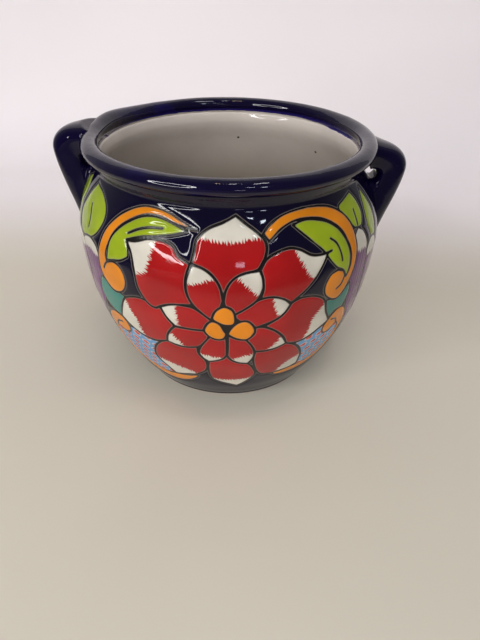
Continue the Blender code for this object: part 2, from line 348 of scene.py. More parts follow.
# Widths of the inked lines, and how strongly the brush shows in plain and in purple paint
PETAL_INK, THIN_INK, STROKE_INK = 1.9, 1.5, 1.7
STREAK_PLAIN, STREAK_PURPLE = 0.0, 0.18

# Dashes on the sky fields: half sizes of the dash and its pale halo, spacing and slant
DASH_HALF, DASH_HALO, DASH_PITCH, DASH_SLANT = (3.4, 1.8), (4.6, 2.9), (12.0, 8.2), 0.35

# The ornament keeps its width where the shoulder narrows
SHOULDER_START, SHOULDER_LENGTH, SHOULDER_LEAN = 154.5, 55.0, 0.028


def smooth_line(points, closed=False):
    """Points of a smooth line through the given ones."""
    knots = np.array(points, float)
    if len(knots) == 2:
        return knots
    if closed:
        padded = np.vstack([knots[-1:], knots, knots[:2]])
    else:
        padded = np.vstack([2 * knots[:1] - knots[1:2], knots, 2 * knots[-1:] - knots[-2:-1]])
    share = np.linspace(0, 1, CURVE_STEPS, endpoint=False)[:, None]
    spans = []
    for before, start, end, after in zip(padded, padded[1:], padded[2:], padded[3:]):
        bend = (2 * before - 5 * start + 4 * end - after) * share**2
        twist = (3 * start - before - 3 * end + after) * share**3
        spans.append(start + ((end - before) * share + bend + twist) / 2)
    tail = spans[0][:1] if closed else knots[-1:]
    return np.vstack(spans + [tail])


def outline(runs):
    """Closed line of the runs of an outline."""
    corner = runs[-1][-1]
    pieces = []
    for run in runs:
        pieces.append(smooth_line([corner] + run)[:-1])
        corner = run[-1]
    return np.vstack(pieces + [pieces[0][:1]])


def ellipse(middle, half, slant=0.0):
    """Closed line of an ellipse, turned by a slant in radians."""
    turn = np.linspace(0, math.tau, ELLIPSE_POINTS)
    level = np.stack([half[0] * np.cos(turn), half[1] * np.sin(turn)], axis=-1)
    cos, sin = math.cos(slant), math.sin(slant)
    return middle + level @ ((cos, sin), (-sin, cos))


class Canvas:
    """Half of the unrolled wall, with the paint of each mesh point. The other half repeats it."""

    # Reach of a line, distance from a white tip where there is none, and depth of solid ink
    NEAR, PLAIN_TIP, DEEP_INK = 14.0, -40.0, -1.0

    def __init__(self, u, s, squeeze):
        rise = np.clip((s - SHOULDER_START) / SHOULDER_LENGTH, 0, None)
        self.columns, self.rows = u, s
        self.u = u[None, :] * (1 - SHOULDER_LEAN * rise[:, None])
        self.s = np.repeat(s[:, None], len(u), axis=1)
        self.squeeze = np.repeat(squeeze[:, None], len(u), axis=1)
        self.colour = np.tile(COBALT, self.u.shape + (1,))
        self.ink = np.full(self.u.shape, self.NEAR)
        self.tip = np.full(self.u.shape, self.PLAIN_TIP)
        self.across = self.u.copy()
        self.streak = np.full(self.u.shape, STREAK_PLAIN)

    def window(self, line):
        """Slices of the canvas around a line."""
        low, high = line.min(axis=0) - self.NEAR, line.max(axis=0) + self.NEAR
        rows = np.searchsorted(self.rows, (low[1], high[1]))
        columns = np.searchsorted(self.columns, (low[0], high[0]))
        return slice(*rows), slice(*columns)

    def distance(self, place, line):
        """Distance to a line, and whether a point lies to the line's left."""
        u, s, squeeze = self.u[place], self.s[place], self.squeeze[place]
        nearest = np.full(u.shape, np.inf)
        left = np.zeros(u.shape, bool)
        for (start_u, start_s), (end_u, end_s) in zip(line, line[1:]):
            x, y = (u - start_u) * squeeze, s - start_s
            run, rise = (end_u - start_u) * squeeze, end_s - start_s
            share = np.clip((x * run + y * rise) / (run * run + rise * rise), 0, 1)
            gap = np.hypot(x - share * run, y - share * rise)
            closer = gap < nearest
            left = np.where(closer, run * y - rise * x > 0, left)
            nearest = np.where(closer, gap, nearest)
        return nearest, left

    def inside(self, place, line):
        """Whether a point lies inside a closed line."""
        u, s = self.u[place], self.s[place]
        odd = np.zeros(u.shape, bool)
        for (start_u, start_s), (end_u, end_s) in zip(line, line[1:]):
            if start_s == end_s:
                continue
            crossing = start_u + (s - start_s) * (end_u - start_u) / (end_s - start_s)
            odd ^= ((start_s > s) != (end_s > s)) & (u < crossing)
        return odd

    def fill(self, line, colour, tip=None, streak=STREAK_PLAIN, width=THIN_INK):
        """Paint a closed shape with an inked outline, and a white tip to the left of the tip line."""
        place = self.window(line)
        gap, _ = self.distance(place, line)
        within = self.inside(place, line)
        edge = gap - width / 2
        self.ink[place] = np.where(within, edge, np.minimum(self.ink[place], edge))
        white, across = np.full(gap.shape, self.PLAIN_TIP), self.u[place]
        if tip is not None:
            white, across = self.tip_field(place, tip)
        self.colour[place][within] = colour
        self.streak[place][within] = streak
        self.tip[place][within] = white[within]
        self.across[place][within] = across[within]

    def tip_field(self, place, tip):
        """Distance past a tip line, and the position along it."""
        knots = np.array(tip, float)
        before, after = 3 * knots[0] - 2 * knots[1], 3 * knots[-1] - 2 * knots[-2]
        gap, left = self.distance(place, smooth_line([before, *knots, after]))
        along = (knots[-1] - knots[0]) / np.hypot(*(knots[-1] - knots[0]))
        across = self.u[place] * self.squeeze[place] * along[0] + self.s[place] * along[1]
        return np.where(left, gap, -gap), across

    def stroke(self, points):
        """Draw an open stroke of ink."""
        line = smooth_line(points)
        place = self.window(line)
        gap, _ = self.distance(place, line)
        self.ink[place] = np.minimum(self.ink[place], gap - STROKE_INK / 2)

    def blot(self, line):
        """Cover a closed shape with ink."""
        place = self.window(line)
        self.ink[place][self.inside(place, line)] = self.DEEP_INK

    def dashes(self, line, slant):
        """Scatter slanting dashes over a field, in staggered rows and with no outline."""
        low, high = line.min(axis=0), line.max(axis=0)
        for row, s in enumerate(np.arange(low[1], high[1], DASH_PITCH[1])):
            start = low[0] + (row % 3) * DASH_PITCH[0] / 3
            for u in np.arange(start, high[0], DASH_PITCH[0]):
                for half, tint in ((DASH_HALO, DASH_PALE), (DASH_HALF, DASH_RED)):
                    spot = ellipse((u, s), half, slant)
                    place = self.window(spot)
                    within = self.inside(place, line) & self.inside(place, spot)
                    self.colour[place][within] = tint


def paint(canvas):
    """Paint the whole ornament, from the ground up."""
    ear_line = HALF_ROUND / 2
    for runs in SIDE_LEAVES:
        canvas.fill(outline(runs), LIME)
    for runs, tip in SIDE_PETALS:
        canvas.fill(outline(runs), PURPLE, tip, STREAK_PURPLE)
    for side in (-ear_line, ear_line):
        right = [(side + u, s) for u, s in EAR_PETAL]
        left = [(side - u, s) for u, s in reversed(EAR_PETAL[:-1])] + [(side, EAR_PETAL_TOP)]
        tip = [(side + u, s) for u, s in EAR_PETAL_TIP]
        canvas.fill(outline([right, left]), PURPLE, tip, STREAK_PURPLE)
    for runs, slant in zip(SKY_FIELDS, (-DASH_SLANT, DASH_SLANT)):
        line = outline(runs)
        canvas.fill(line, SKY)
        canvas.dashes(line, slant)
    for shapes, colour in ((SCROLLS, ORANGE), (TEAL_FIELDS, TEAL), (LEAVES, LIME), (ARCHES, ORANGE)):
        for runs in shapes:
            canvas.fill(outline(runs), colour)
    canvas.blot(ellipse(FLOWER_MIDDLE, FLOWER_DARK))
    for runs, tip in OUTER_PETALS + INNER_PETALS:
        canvas.fill(outline(runs), RED, tip, width=PETAL_INK)
    for points in SEEDS:
        canvas.fill(smooth_line(points, closed=True), ORANGE, width=PETAL_INK)
    for points in STROKES:
        canvas.stroke(points)


def wall_curve(z, lean):
    """Radius of the pot's outside at a height, with the neck's lean up to its top."""
    drop = np.clip((BELLY_HEIGHT - z) / BELLY_HEIGHT, 0, 1)
    rise = np.clip((z - BELLY_HEIGHT) / (NECK_BOTTOM - BELLY_HEIGHT), 0, 1)
    neck = np.clip((z - NECK_BOTTOM) / (WALL_TOP - NECK_BOTTOM), 0, None)
    lower = (BELLY_RADIUS - FOOT_RADIUS) * drop**LOWER_FULLNESS
    shoulder = (BELLY_RADIUS - NECK_RADIUS) * rise**SHOULDER_FULLNESS
    return BELLY_RADIUS - lower - shoulder + lean * neck


def wall_radius(z):
    """Radius of the pot's outside at a height, with the crease softened."""
    return np.mean([wall_curve(z + step, COVE_LEAN) for step in CREASE_STEPS], axis=0)


def inner_radius(z):
    """Radius of the pot's inside at a height."""
    drop = np.clip((BELLY_HEIGHT - z) / BELLY_HEIGHT, 0, 1)
    steepness = (BELLY_RADIUS - FOOT_RADIUS) * LOWER_FULLNESS / BELLY_HEIGHT
    slope = steepness * drop ** (LOWER_FULLNESS - 1)
    swell = NECK_SWELL * np.exp(-((np.minimum(z - NECK_BOTTOM, 0) / SWELL_REACH) ** 2))
    lean = LIP_RADIUS - NECK_RADIUS + NECK_SWELL
    rounded = np.mean([wall_curve(z + INSIDE_SOFTNESS * step, lean) for step in CREASE_STEPS], axis=0)
    return rounded - WALL * np.hypot(1, slope) - swell


def arc(centre, size, start, end, count):
    """Points of an elliptical arc, angles in degrees from outwards to up."""
    turn = np.radians(np.linspace(start, end, count))
    return np.stack([centre[0] + size[0] * np.cos(turn), centre[1] + size[1] * np.sin(turn)], axis=-1)


# Corners of a grid's quad, as steps of column and row
QUAD = ((0, 0), (1, 0), (1, 1), (0, 1))


def grid_corners(rows, columns):
    """Column and row of the corners of each quad of a grid."""
    row, column = np.divmod(np.arange(rows * columns), columns)
    return np.stack([column, row], axis=-1)[:, None] + QUAD


def grid_faces(rows, columns):
    """Quads of a grid of points that closes on itself both ways."""
    column, row = np.moveaxis(grid_corners(rows, columns), -1, 0)
    return row % rows * columns + column % columns


def add_object(name, points, faces, materials):
    """Smooth mesh object of points and faces."""
    mesh = bpy.data.meshes.new(name)
    mesh.from_pydata(points.reshape(-1, 3).tolist(), [], faces)
    mesh.shade_smooth()
    for material in materials:
        mesh.materials.append(material)
    thing = bpy.data.objects.new(name, mesh)
    bpy.context.scene.collection.objects.link(thing)
    return thing


def grid_object(name, points, materials):
    """Object of a closed grid of points, rows by columns, with a bake map that unrolls it."""
    rows, columns = points.shape[:2]
    thing = add_object(name, points, grid_faces(rows, columns).tolist(), materials)
    flat = grid_corners(rows, columns) / (columns, rows)
    thing.data.uv_layers.new(name="OFBake").data.foreach_set("uv", flat.ravel())
    return thing


def set_attribute(thing, name, kind, field, values):
    """Store one value for each point of a mesh."""
    layer = thing.data.attributes.new(name, kind, "POINT")
    layer.data.foreach_set(field, np.ascontiguousarray(values, np.float32).ravel())


# Sockets of a blend of colours: share, first and second colour, and result
BLEND_SOCKETS, BLEND_RESULT = (0, 6, 7), 2


class Nodes:
    """Adds nodes to a tree: each call adds what it names and returns an output."""

    def __init__(self, tree):
        self.tree = tree

    def feed(self, socket, value):
        """Link an output to a socket, or set a plain value or colour on it."""
        if isinstance(value, bpy.types.NodeSocket):
            self.tree.links.new(value, socket)
        else:
            socket.default_value = (*value, 1.0) if socket.type == "RGBA" else value

    def add(self, kind, sockets, output=0, **settings):
        """Node with its settings and what its sockets are fed."""
        node = self.tree.nodes.new("ShaderNode" + kind)
        for name, value in settings.items():
            setattr(node, name, value)
        for socket, value in sockets:
            self.feed(node.inputs[socket], value)
        return node.outputs[output]

    def math(self, operation, *values):
        """Arithmetic on numbers."""
        return self.add("Math", enumerate(values), operation=operation)

    def ramp(self, value, low, high, start=0.0, end=1.0, bend="SMOOTHSTEP"):
        """Step of a number from low to high, smooth or straight."""
        sockets = enumerate((value, low, high, start, end))
        return self.add("MapRange", sockets, interpolation_type=bend)

    def mix(self, share, first, second):
        """Blend of two colours."""
        sockets = zip(BLEND_SOCKETS, (share, first, second))
        return self.add("Mix", sockets, BLEND_RESULT, data_type="RGBA")

    def dim(self, colour, share):
        """Colour made darker or lighter by a share."""
        return self.add("VectorMath", ((0, colour), ("Scale", share)), operation="SCALE")

    def attribute(self, name, output):
        """Value that the mesh stores at its points."""
        return self.add("Attribute", (), output, attribute_name=name)

    def place(self, space="Object"):
        """Place in the object, in metres, or in another space."""
        return self.add("TexCoord", (), space)

    def distance(self, spot):
        """Distance from a spot on the object, in metres."""
        return self.add("VectorMath", ((0, self.place()), (1, spot)), "Value", operation="DISTANCE")

    def split(self, vector):
        """The three numbers of a vector."""
        return self.add("SeparateXYZ", ((0, vector),)).node.outputs

    def noise(self, scale, detail=2.0, along=None):
        """Cloudy noise of 0 to 1, in space or along one number."""
        grain = ("Scale", scale), ("Detail", detail)
        if along is None:
            return self.add("TexNoise", (("Vector", self.place()), *grain), "Fac")
        return self.add("TexNoise", (("W", along), *grain), "Fac", noise_dimensions="1D")


class Shader(Nodes):
    """Nodes of one surface."""

    def __init__(self, name, roughness, shine=0.5):
        self.material = bpy.data.materials.new(name)
        self.material.use_nodes = True
        super().__init__(self.material.node_tree)
        self.set("Roughness", roughness)
        self.set("Specular IOR Level", shine)

    def set(self, socket, value):
        """Set or link one of the surface's own inputs."""
        self.feed(self.tree.nodes["Principled BSDF"].inputs[socket], value)

    def bump(self, height, distance):
        """Fine relief of the surface, in metres."""
        self.set("Normal", self.add("Bump", (("Distance", distance), ("Height", height))))

    def ripple(self, fineness, height):
        """Slight waves of a glaze, in metres."""
        self.bump(self.noise(fineness), height)


# Usual span of a noise, from its low to its high values
NOISE_SPAN = (0.3, 0.7)

# Feathered edge between a petal's colour and its white tip, in millimetres:
# spacing, slant and wander of the strokes, their lengths and the softness of their ends
COMB_PITCH, COMB_SLANT, COMB_WANDER = 2.3, 0.25, 4.0
FEATHER_LENGTHS, FEATHER_SOFTNESS = (1.6, 4.4), 0.7


def feathered(shader, tip, across):
    """Share of white past a petal's tip line, combed out into brush strokes."""
    uneven = shader.math("MULTIPLY", shader.noise(0.3, along=across), COMB_WANDER)
    slanted = shader.math("MULTIPLY_ADD", tip, COMB_SLANT, across)
    comb = shader.math("PINGPONG", shader.math("ADD", slanted, uneven), COMB_PITCH / 2)
    tooth = shader.math("MULTIPLY_ADD", comb, 2 / COMB_PITCH, -0.5)
    length = shader.ramp(shader.noise(0.35, along=across), *NOISE_SPAN, *FEATHER_LENGTHS)
    combed = shader.math("MULTIPLY_ADD", tooth, length, tip)
    return shader.ramp(combed, -FEATHER_SOFTNESS, FEATHER_SOFTNESS)


# Roughness of glazes, ink and clay, and how strongly the painted wall and the ears reflect
GLAZE_ROUGHNESS, INSIDE_ROUGHNESS, INK_ROUGHNESS, CLAY_ROUGHNESS = 0.05, 0.09, 0.22, 0.85
PAINT_SHINE, EAR_SHINE = 0.38, 0.30

# Ripples of the glazes: their fineness, and their height in metres
PAINT_RIPPLE, BLUE_RIPPLE, INSIDE_RIPPLE = (160.0, 0.00003), (120.0, 0.0002), (60.0, 0.0004)

# Spans of the noises for pale brush strands and for tones, and the darkest and lightest tone
STRAND_SPAN, TONE_SPAN, TONES = (0.4, 0.75), (0.3, 0.75), (0.84, 1.06)

# Inked lines, in millimetres: how much their width wanders, the softness of their sides,
# and the start, end and strength of the pale edge beside them
INK_WANDER, INK_SOFTNESS = 0.9, 0.14
INK_EDGE_START, INK_EDGE_REACH, INK_EDGE_SHARE = 0.1, 0.75, 0.75


def painted_glaze():
    """Glaze in the colours of the paint, with inked lines, feathered white tips and brush streaks."""
    shader = Shader("painted_glaze", GLAZE_ROUGHNESS, PAINT_SHINE)
    paint_colour = shader.attribute("paint", "Color")
    tip, across, streak = shader.split(shader.attribute("brush", "Vector"))
    ink = shader.attribute("ink", "Fac")
    strand = shader.noise(0.45, 3.0, along=across)
    paler = shader.math("MULTIPLY", shader.ramp(strand, *STRAND_SPAN), streak)
    coloured = shader.mix(paler, paint_colour, WHITE)
    tipped = shader.mix(feathered(shader, tip, across), coloured, WHITE)
    toned = shader.dim(tipped, shader.ramp(shader.noise(28.0, 3.0), *TONE_SPAN, *TONES))
    wander = shader.math("MULTIPLY_ADD", shader.noise(75.0, 3.0), INK_WANDER, -INK_WANDER / 2)
    line = shader.math("ADD", ink, wander)
    edge = shader.math("MULTIPLY", shader.ramp(line, INK_EDGE_REACH, INK_EDGE_START), INK_EDGE_SHARE)
    edged = shader.mix(edge, toned, INK_EDGE)
    lined = shader.ramp(line, INK_SOFTNESS, -INK_SOFTNESS)
    shader.set("Base Color", shader.mix(lined, edged, INK))
    shader.set("Roughness", shader.ramp(lined, 0.0, 1.0, GLAZE_ROUGHNESS, INK_ROUGHNESS))
    shader.ripple(*PAINT_RIPPLE)
    return shader.material


# Span of the noise that makes the blue thin
THIN_SPAN = (0.5, 0.85)


def cobalt_colour(shader):
    """Deep blue that turns brighter where the glaze is thin."""
    thin = shader.ramp(shader.noise(22.0, 3.0), *THIN_SPAN)
    return shader.mix(thin, COBALT_DEEP, COBALT_THIN)


# Inside: heights between which painted shade darkens its glaze lower down, and tones of its clouds
SHADE_HEIGHTS, CLOUD_TONES = (0.20, 0.11), (1.0, 0.87)

# Pinholes in the glaze of the inside: their places and size
PINHOLES = ((0.0032, 0.1178, 0.1841), (0.0842, 0.0848, 0.1807))
PINHOLE_SIZE = 0.0018


def inside_colour(shader):
    """Off-white glaze with faint clouds and two pinholes, with painted shade that darkens it lower
    down.
    """
    # Share of painted shade, growing lower down inside
    depth = shader.ramp(shader.split(shader.place())[2], *SHADE_HEIGHTS)
    cloud = shader.ramp(shader.noise(14.0, 4.0), *NOISE_SPAN, *CLOUD_TONES)
    clouded = shader.dim(shader.mix(depth, INSIDE, INSIDE_SHADE), cloud)
    holes = [shader.ramp(shader.distance(spot), PINHOLE_SIZE, PINHOLE_SIZE / 2) for spot in PINHOLES]
    return shader.mix(shader.math("MAXIMUM", *holes), clouded, PINHOLE)


def cobalt_glaze():
    """Deep blue glaze of the ears."""
    shader = Shader("cobalt_glaze", GLAZE_ROUGHNESS, EAR_SHINE)
    shader.set("Base Color", cobalt_colour(shader))
    shader.ripple(*BLUE_RIPPLE)
    return shader.material


# Lower edge of the blue, in millimetres: its wander, its softness and the thin blue's reach
RAGGED, RAGGED_SOFTNESS, THIN_REACH = 3.0, 0.25, 7.0


def mouth_glaze(name, roughness, ripple):
    """Deep blue glaze brushed over the pale glaze of the inside, down to a ragged edge."""
    shader = Shader(name, roughness)
    cover = shader.attribute("cover", "Fac")
    ragged = shader.math("MULTIPLY_ADD", shader.noise(90.0, 3.0), RAGGED, -RAGGED / 2)
    blue = shader.ramp(shader.math("ADD", cover, ragged), -RAGGED_SOFTNESS, RAGGED_SOFTNESS)
    deep = shader.mix(shader.ramp(cover, 0.0, THIN_REACH), COBALT_EDGE, cobalt_colour(shader))
    shader.set("Base Color", shader.mix(blue, inside_colour(shader), deep))
    shader.ripple(*ripple)
    return shader.material


# Clay: span of the noise that makes dark specks, strength of pale clouds, and height of the grit
SPECK_SPAN, PALE_SHARE, GRIT = (0.55, 0.7), 0.5, 0.0003


def bare_clay():
    """Unglazed clay of the foot."""
    shader = Shader("bare_clay", CLAY_ROUGHNESS)
    grit = shader.noise(900.0, 3.0)
    cloud = shader.ramp(shader.noise(40.0, 3.0), *NOISE_SPAN)
    speckled = shader.mix(shader.ramp(grit, *SPECK_SPAN), CLAY, CLAY_DARK)
    paler = shader.math("MULTIPLY", cloud, PALE_SHARE)
    shader.set("Base Color", shader.mix(paler, speckled, CLAY_PALE))
    shader.bump(grit, GRIT)
    return shader.material


# Height of the lower edge of the blue inside the mouth, cover where all is blue,
# and the edge's drips: place round the rim and half width in degrees, depth
BLUE_EDGE, ALL_BLUE = 0.2155, 20.0
DRIPS = ((174, 9, 0.0032), (24, 24, 0.004))

# Where the blue stays thin, to the right, in degrees, and how much sooner it is deep elsewhere
THIN_PLACE, THIN_HALF, THICKENING = 24, 40, 3.0


def hump(turn, place, half):
    """Soft hump of height 1 at a place round the axis, in degrees."""
    away = np.angle(np.exp(1j * (turn - math.radians(place))))
    return np.exp(-((away / math.radians(half)) ** 2))


def blue_cover(turn, z):
    """Millimetres above the lower edge of the blue in the mouth, counted faster where it is thick."""
    edge = np.full(np.broadcast(turn, z).shape, BLUE_EDGE)
    for place, half, depth in DRIPS:
        edge = edge - depth * hump(turn, place, half)
    above = (z - edge) * MM
    thickness = 1 + THICKENING * (1 - hump(turn, THIN_PLACE, THIN_HALF))
    return np.where(above > 0, above * thickness, above)


# Relief: depth of the inked grooves, where inside a line its rounding starts and how far it reaches,
# both in millimetres, and the heights over which the relief fades at the foot and at the neck
GROOVE, PILLOW_START, PILLOW = 0.0007, 0.5, 3.0
FOOT_FADE, NECK_FADE = 0.01, 0.004

# Unevenness of the hand, as waves: strength, count round the axis, turn per metre up, and start
HAND_WAVE = 0.0001
HAND_WAVES = ((1.0, 3, 40, 1.0), (0.7, 5, -55, -0.6), (0.5, 9, 120, 0.0))

# Ribs left by the fingers: strength of them and of their wander, turn per metre up, and wanders
RIB, RIB_RISE, RIB_WANDERS = 0.8, 330, 2


def hand_waves(turn, z):
    """Slight unevenness of a wall shaped by hand."""
    waves = RIB * np.sin(z * RIB_RISE + RIB * np.sin(RIB_WANDERS * turn))
    for strength, count, rise, start in HAND_WAVES:
        waves = waves + strength * np.sin(count * turn + z * rise + start)
    return HAND_WAVE * waves


def spun(section, columns):
    """Angles round the axis, and the radii and heights of a section at each of them."""
    turn = np.arange(columns)[None, :] * math.tau / columns - math.pi
    radius, z = (np.repeat(values[:, None], columns, axis=1) for values in section.T)
    return turn, radius, z


def turned(radius, turn, z):
    """Points at radii and heights round the axis."""
    return np.stack([radius * np.cos(turn), radius * np.sin(turn), z], axis=-1)


def wall_profile():
    """Lengths up the wall from the foot, in millimetres, and the points of its outside there."""
    fine_z = np.linspace(0, WALL_TOP, PROFILE_POINTS)
    fine_s = np.hypot(np.diff(fine_z), np.diff(wall_radius(fine_z))).cumsum()
    fine_s = np.concatenate([[0], fine_s]) * MM
    s = np.linspace(np.interp(FOOT_EDGE, fine_z, fine_s), fine_s[-1], WALL_ROWS)
    z = np.interp(s, fine_s, fine_z)
    return s, np.stack([wall_radius(z), z], axis=-1)


# Rings of the floor, as shares of its width, and the broken edge of the drain hole
FLOOR_RINGS = (0.8, 0.6, 0.4, 0.2)
DRAIN_EDGE = 0.001


def pot_section(edge_radius):
    """Foot's rounded edge, the glazed inside down to the drain hole, and the clay underneath."""
    flat_radius = edge_radius - FOOT_EDGE
    edge = arc((flat_radius, FOOT_EDGE), (FOOT_EDGE, FOOT_EDGE), -90, 0, EDGE_POINTS)[:-1]
    fillet_top = FLOOR_TOP + FLOOR_FILLET
    neck_z = np.linspace(WALL_TOP, NECK_BOTTOM, NECK_ROWS)
    inside_z = np.concatenate([neck_z, np.linspace(NECK_BOTTOM, fillet_top, INSIDE_ROWS)[1:]])
    inside = np.stack([inner_radius(inside_z), inside_z], axis=-1)
    fillet_centre = (inside[-1, 0] - FLOOR_FILLET, fillet_top)
    fillet = arc(fillet_centre, (FLOOR_FILLET, FLOOR_FILLET), 0, -90, FILLET_POINTS)[1:]
    rings = [fillet[-1, 0] * share + DRAIN_RADIUS * (1 - share) for share in FLOOR_RINGS]
    floor = [(radius, FLOOR_TOP) for radius in (*rings, DRAIN_RADIUS + DRAIN_EDGE)]
    ring_inner = flat_radius - FOOT_RING_WIDTH
    drain = [(DRAIN_RADIUS, FLOOR_TOP - DRAIN_EDGE), (DRAIN_RADIUS, FOOT_RECESS)]
    clay = [*drain, (ring_inner - FOOT_RECESS, FOOT_RECESS), (ring_inner, 0.0)]
    return edge, np.vstack([inside, fillet, floor]), np.array(clay)


# Materials of the pot's rows, and the rows of the foot's edge that are bare
PAINTED, GLAZED, BARE = 0, 1, 2
BARE_ROWS = 2


def make_pot():
    """Pot wall with its painted relief, the inside, the floor and the foot."""
    s, wall = wall_profile()
    edge, glazed, clay = pot_section(wall[0, 0])
    section = np.vstack([edge, wall, glazed, clay])
    turn, radius, z = spun(section, WALL_COLUMNS)
    painted = slice(len(edge), len(edge) + len(wall))

    half = WALL_COLUMNS // 2
    u = (np.arange(half) - half / 2) * HALF_ROUND / half
    canvas = Canvas(u, s, wall[:, 0] / BELLY_RADIUS)
    paint(canvas)
    step = np.clip((np.tile(canvas.ink, (1, 2)) + PILLOW_START) / PILLOW, 0, 1)
    wall_z = wall[:, 1:]
    slope = np.gradient(wall[:, 0], wall[:, 1])[:, None]
    tilt = np.hypot(1, slope)
    foot_fade = np.clip((wall_z - FOOT_EDGE) / FOOT_FADE, 0, 1)
    fade = foot_fade * np.clip((WALL_TOP - wall_z) / NECK_FADE, 0, 1)
    out = fade * (hand_waves(turn, wall_z) - GROOVE * (1 - step) ** 2)
    radius[painted] += out / tilt
    z[painted] -= out * slope / tilt

    inside_glaze = mouth_glaze("inside_glaze", INSIDE_ROUGHNESS, INSIDE_RIPPLE)
    materials = [painted_glaze(), inside_glaze, bare_clay()]
    pot = grid_object("painted_pot", turned(radius, turn, z), materials)
    slots = np.full(z.shape, BARE, np.int32)
    slots[BARE_ROWS : painted.stop] = PAINTED
    slots[painted.stop : -len(clay)] = GLAZED
    pot.data.polygons.foreach_set("material_index", slots.ravel())

    ink = np.full(z.shape, Canvas.NEAR)
    ink[painted] = np.tile(canvas.ink, (1, 2))
    colour = np.tile((*COBALT, 1.0), z.shape + (1,))
    colour[painted, :, :3] = np.tile(canvas.colour, (1, 2, 1))
    brush = np.tile((Canvas.PLAIN_TIP, 0.0, 0.0), z.shape + (1,))
    strokes = np.stack([canvas.tip, canvas.across, canvas.streak], axis=-1)
    brush[painted] = np.tile(strokes, (1, 2, 1))
    set_attribute(pot, "ink", "FLOAT", "value", ink)
    set_attribute(pot, "paint", "FLOAT_COLOR", "color", colour)
    set_attribute(pot, "brush", "FLOAT_VECTOR", "vector", brush)
    set_attribute(pot, "cover", "FLOAT", "value", blue_cover(turn, section[:, 1:]))
    return pot


# The rim is higher behind the left ear: place round the rim and half width in degrees, height
RIM_HUMP = (162, 15, 0.003)

# Inner foot of the rim, and how its underside is tucked into the neck
RIM_FOOT = (MOUTH_RADIUS, RIM_BOTTOM - 0.0003)
RIM_TUCK = ((RIM_SEAT - 0.0006, RIM_BOTTOM - 0.0004), (LIP_RADIUS - 0.001, RIM_BOTTOM - 0.001))


def make_rim():
    """Rolled rim, tucked into the top of the neck's cove."""
    half = (HEIGHT - RIM_BOTTOM) / 2
    crest, seat = (RIM_CREST, RIM_MIDDLE), (RIM_SEAT, RIM_MIDDLE)
    inner = arc(crest, (RIM_CREST - MOUTH_RADIUS, half), 180, 90, ARC_POINTS)
    outer = arc(crest, (RIM_RADIUS - RIM_CREST, half), 90, 0, OUTER_POINTS)[1:]
    under = arc(seat, (RIM_RADIUS - RIM_SEAT, half), 0, -90, ARC_POINTS)[1:]
    section = np.vstack([RIM_FOOT, inner, outer, under, RIM_TUCK])[::-1]
    turn, radius, z = spun(section, RIM_COLUMNS)
    lift = np.clip((z - RIM_BOTTOM) / (HEIGHT - RIM_BOTTOM), 0, 1)
    place, half_width, height = RIM_HUMP
    raised = height * hump(turn, place, half_width)
    radius += lift * hand_waves(turn, 0.0)
    z += lift * (raised - np.abs(hand_waves(2 * turn, 0.0)))
    glaze = mouth_glaze("rim_glaze", GLAZE_ROUGHNESS, BLUE_RIPPLE)
    rim = grid_object("rolled_rim", turned(radius, turn, z), [glaze])
    inner_rows = len(inner) + 1
    cover = np.full(z.shape, ALL_BLUE)
    cover[-inner_rows:] = blue_cover(turn, z[-inner_rows:])
    set_attribute(rim, "cover", "FLOAT", "value", cover)
    return rim


# Soft fillet of the ears onto the rim and wall: its size, and how far it reaches
EAR_FILLET, EAR_FILLET_REACH = 0.0018, 0.010

# Below its hole an ear closes onto the wall: directions from the hole, and reach into the wall
EAR_CLOSING = np.radians((-90, -105, -120, -135))
EAR_CLOSING_REACH = 0.03

# Where an ear runs onto the rim: its depth below the rim's top, how steeply it rises outwards,
# and how far its back is smeared along the rim
EAR_SINK, EAR_RISE = 0.0003, 0.4
EAR_SMEAR, EAR_SMEAR_POWER = 0.6, 1.5


def bezier(start, start_pull, end_pull, end):
    """Points of a Bezier span."""
    share = np.linspace(0, 1, EAR_STEPS)[:, None]
    near = (1 - share) ** 3 * start + 3 * (1 - share) ** 2 * share * start_pull
    return near + 3 * (1 - share) * share**2 * end_pull + share**3 * end


def ear_line(raised):
    """Middle line of an ear, from the rim over the elbow to the shoulder."""
    top = HEIGHT + raised
    root = np.array((EAR_ROOT_X, top - EAR_ROOT_DROP))
    elbow = np.array((EAR_ELBOW_X, top - EAR_ELBOW_DROP))
    foot = np.array(EAR_FOOT)
    sideways, upright = np.eye(2)
    root_out = root + (elbow - root) * sideways * EAR_ROOT_PULL
    elbow_up = elbow + (root - elbow) * upright * EAR_UP_PULL
    elbow_down = elbow - (elbow - foot) * upright * EAR_DOWN_PULL
    foot_up = foot + (elbow - foot) * EAR_FOOT_PULL
    over = bezier(root, root_out, elbow_up, elbow)
    return np.vstack([over, bezier(elbow, elbow_down, foot_up, foot)[1:]])


def ear_sizes():
    """Half width and half thickness of an ear along its middle line."""
    share = np.linspace(0, 1, EAR_STEPS)
    root_width = EAR_WIDTH + (EAR_ROOT_WIDTH - EAR_WIDTH) * (1 - share) ** EAR_ROOT_FLARE
    foot_width = EAR_WIDTH + (EAR_FOOT_WIDTH - EAR_WIDTH) * share**EAR_FOOT_FLARE
    root_thick = EAR_ROOT_TAPER + (1 - EAR_ROOT_TAPER) * share
    foot_thick = 1 + (EAR_FOOT_TAPER - 1) * share
    width = np.concatenate([root_width, foot_width[1:]])
    thick = np.concatenate([root_thick, foot_thick[1:]]) * EAR_THICKNESS
    return width[:, None] / 2, thick[:, None] / 2


def pot_gap(radius, z):
    """Distance from the outside of the wall and of the rolled rim, roughly."""
    wall = np.where(z < WALL_TOP, radius - wall_radius(np.minimum(z, WALL_TOP)), radius)
    half = (HEIGHT - RIM_BOTTOM) / 2
    coil = np.hypot((radius - RIM_CREST) / (RIM_RADIUS - RIM_CREST), (z - RIM_MIDDLE) / half)
    return np.minimum(wall, (coil - 1) * half)


